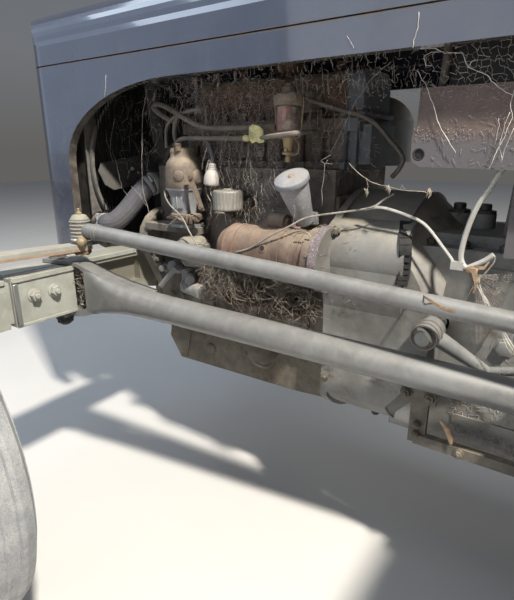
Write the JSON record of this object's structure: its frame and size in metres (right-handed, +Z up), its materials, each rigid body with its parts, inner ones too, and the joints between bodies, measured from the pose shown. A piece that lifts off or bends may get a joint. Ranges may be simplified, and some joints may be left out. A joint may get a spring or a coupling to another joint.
{
  "type": "vintage tractor",
  "caption": "Small grey farm tractor with an open-sided tilting bonnet over its diesel engine, steered front wheels with side drag links, bar-tread rear tyres and a three-point lift",
  "frame": {"origin": "Middle of the machine's overall length and width, on the ground under the wheels", "axes": "-Y is forward, +X the machine's left side, +Z up; metres"},
  "size_m": [1.706, 3.0149, 1.3781],
  "materials": {
    "axle_case_iron": "dusty grey casting",
    "axle_grey": "pale greenish-grey weathered paint",
    "battery_box_brown": "dark brown rusty steel",
    "bolster_iron": "dusty cast iron",
    "bonnet_paint": "slate grey-blue gloss paint, dusty, rust in the seams",
    "cleaner_grey": "speckled grey hammered paint",
    "cover_rust": "rusty brown rocker cover",
    "dynamo_black": "black paint",
    "engine_iron": "oily brown-grey cast iron",
    "exhaust_rust": "rusty iron",
    "fan_black": "dusty black paint",
    "fender_paint": "slate grey-blue paint, dusty",
    "filler_grey": "pale blue-grey paint",
    "filter_brass": "dull yellow metal and glass bowl",
    "gearbox_iron": "dusty grey casting",
    "grille_steel": "dull pressed steel",
    "head_iron": "dusty cast iron",
    "hitch_iron": "worn dark iron",
    "hose_rubber": "grey-blue rubber",
    "knuckle_grey": "pale grey, rusty edges",
    "panel_paint": "dull grey paint",
    "pipe_steel": "dull bare pipe",
    "pump_casting": "dusty light casting",
    "radiator_black": "black paint",
    "rim_silver": "silver-grey paint, dusty",
    "rod_grey": "dusty grey paint",
    "seat_paint": "worn grey paint",
    "shroud_grey": "dusty dark grey steel",
    "starter_copper": "rusty copper-brown drum",
    "steering_iron": "dusty grey casting",
    "step_iron": "worn iron",
    "sump_iron": "pale olive-grey casting",
    "tank_paint": "grey paint",
    "tyre_rubber": "weathered black rubber",
    "wheel_black": "black rim and steel spokes"
  },
  "bodies": {
    "chassis": {"engine_block": "engine_iron", "cylinder_head": "head_iron", "rocker_cover": "cover_rust", "oil_sump": "sump_iron", "dynamo_and_belt": "dynamo_black", "radiator": "radiator_black", "fan_shroud": "shroud_grey", "coolant_hoses": "hose_rubber", "front_bolster": "bolster_iron", "front_axle": "axle_grey", "radius_rods": "rod_grey", "gearbox_case": "gearbox_iron", "rear_axle_case": "axle_case_iron", "steering_box": "steering_iron", "instrument_panel": "panel_paint", "fuel_tank": "tank_paint", "battery_box": "battery_box_brown", "air_cleaner": "cleaner_grey", "exhaust": "exhaust_rust", "injection_pump": "pump_casting", "fuel_filter": "filter_brass", "pipes_and_cable": "pipe_steel", "oil_filler": "filler_grey", "starter_motor": "starter_copper", "seat": "seat_paint", "fenders": "fender_paint", "footrests": "step_iron", "pedals": "step_iron", "drawbar": "hitch_iron"},
    "cooling_fan": {"cooling_fan": "fan_black"},
    "bonnet": {"bonnet_top_panel": "bonnet_paint", "bonnet_sides": "bonnet_paint", "grille": "grille_steel"},
    "knuckle_left": {"knuckle_left": "knuckle_grey"},
    "front_wheel_left": {"front_wheel_left": "rim_silver", "front_tyre_left": "tyre_rubber"},
    "drag_link_left": {"drag_link_left": "rod_grey"},
    "knuckle_right": {"knuckle_right": "knuckle_grey"},
    "front_wheel_right": {"front_wheel_right": "rim_silver", "front_tyre_right": "tyre_rubber"},
    "drag_link_right": {"drag_link_right": "rod_grey"},
    "drop_arm_left": {"drop_arm_left": "steering_iron"},
    "drop_arm_right": {"drop_arm_right": "steering_iron"},
    "steering_wheel": {"steering_wheel": "wheel_black"},
    "rear_wheel_left": {"rear_wheel_left": "rim_silver", "rear_tyre_left": "tyre_rubber"},
    "rear_wheel_right": {"rear_wheel_right": "rim_silver", "rear_tyre_right": "tyre_rubber"},
    "lift_arms": {"lift_arms": "hitch_iron"},
    "lift_rods": {"lift_rods": "rod_grey"},
    "lower_links": {"lower_links": "hitch_iron"}
  },
  "joints": [
    {"name": "knuckle_left_steer", "type": "hinge", "parent": "chassis", "child": "knuckle_left", "pos_m": [0.625, -1.1425, 0.5], "axis": [0, 0, 1], "range_deg": [-30, 30]},
    {"name": "knuckle_right_steer", "type": "hinge", "parent": "chassis", "child": "knuckle_right", "pos_m": [-0.625, -1.1425, 0.5], "axis": [0, 0, 1], "range_deg": [-30, 30]},
    {"name": "front_left_spin", "type": "hinge", "parent": "knuckle_left", "child": "front_wheel_left", "pos_m": [0.776, -1.1425, 0.365], "axis": [1, 0, 0], "continuous": true},
    {"name": "front_right_spin", "type": "hinge", "parent": "knuckle_right", "child": "front_wheel_right", "pos_m": [-0.776, -1.1425, 0.365], "axis": [1, 0, 0], "continuous": true},
    {"name": "rear_left_spin", "type": "hinge", "parent": "chassis", "child": "rear_wheel_left", "pos_m": [0.711, 0.6875, 0.636], "axis": [1, 0, 0], "continuous": true},
    {"name": "rear_right_spin", "type": "hinge", "parent": "chassis", "child": "rear_wheel_right", "pos_m": [-0.711, 0.6875, 0.636], "axis": [1, 0, 0], "continuous": true},
    {"name": "drag_link_left_turn", "type": "hinge", "parent": "knuckle_left", "child": "drag_link_left", "pos_m": [0.38, -1.0885, 0.722], "axis": [0, 0, 1], "range_deg": [-36, 36]},
    {"name": "drag_link_right_turn", "type": "hinge", "parent": "knuckle_right", "child": "drag_link_right", "pos_m": [-0.38, -1.0885, 0.722], "axis": [0, 0, 1], "range_deg": [-36, 36]},
    {"name": "drop_arm_left_swing", "type": "hinge", "parent": "chassis", "child": "drop_arm_left", "pos_m": [0.229, -0.0525, 0.842], "axis": [1, 0, 0], "range_deg": [-36, 36]},
    {"name": "drop_arm_right_swing", "type": "hinge", "parent": "chassis", "child": "drop_arm_right", "pos_m": [-0.229, -0.0525, 0.842], "axis": [1, 0, 0], "range_deg": [-36, 36]},
    {"name": "steering_wheel_turn", "type": "hinge", "parent": "chassis", "child": "steering_wheel", "pos_m": [0, 0.1405, 1.232], "axis": [0, 0.5469, 0.8372], "range_deg": [-400, 400]},
    {"name": "bonnet_tilt", "type": "hinge", "parent": "chassis", "child": "bonnet", "pos_m": [0, -1.3775, 0.625], "axis": [1, 0, 0], "range_deg": [0, 65]},
    {"name": "fan_spin", "type": "hinge", "parent": "chassis", "child": "cooling_fan", "pos_m": [0, -1.2125, 0.848], "axis": [0, 1, 0], "continuous": true},
    {"name": "lift_arm_swing", "type": "hinge", "parent": "chassis", "child": "lift_arms", "pos_m": [0, 0.7625, 0.8], "axis": [1, 0, 0], "range_deg": [-14, 40]},
    {"name": "lift_rod_swing", "type": "hinge", "parent": "lift_arms", "child": "lift_rods", "pos_m": [0.254, 0.9875, 0.812], "axis": [1, 0, 0], "range_deg": [-60, 30]},
    {"name": "lower_link_swing", "type": "hinge", "parent": "chassis", "child": "lower_links", "pos_m": [0.2, 0.6575, 0.4], "axis": [1, 0, 0], "range_deg": [-14, 30]}
  ],
  "couplings": [
    {"joint": "knuckle_right_steer", "follows": "knuckle_left_steer", "ratio": 1},
    {"joint": "drag_link_left_turn", "follows": "knuckle_left_steer", "ratio": -1.0516},
    {"joint": "drag_link_right_turn", "follows": "knuckle_left_steer", "ratio": -1.0516},
    {"joint": "drop_arm_left_swing", "follows": "knuckle_left_steer", "ratio": -1.1667},
    {"joint": "drop_arm_right_swing", "follows": "knuckle_left_steer", "ratio": 1.1667},
    {"joint": "steering_wheel_turn", "follows": "knuckle_left_steer", "ratio": 12},
    {"joint": "lift_rod_swing", "follows": "lift_arm_swing", "ratio": -0.94},
    {"joint": "lower_link_swing", "follows": "lift_arm_swing", "ratio": 0.555}
  ]
}
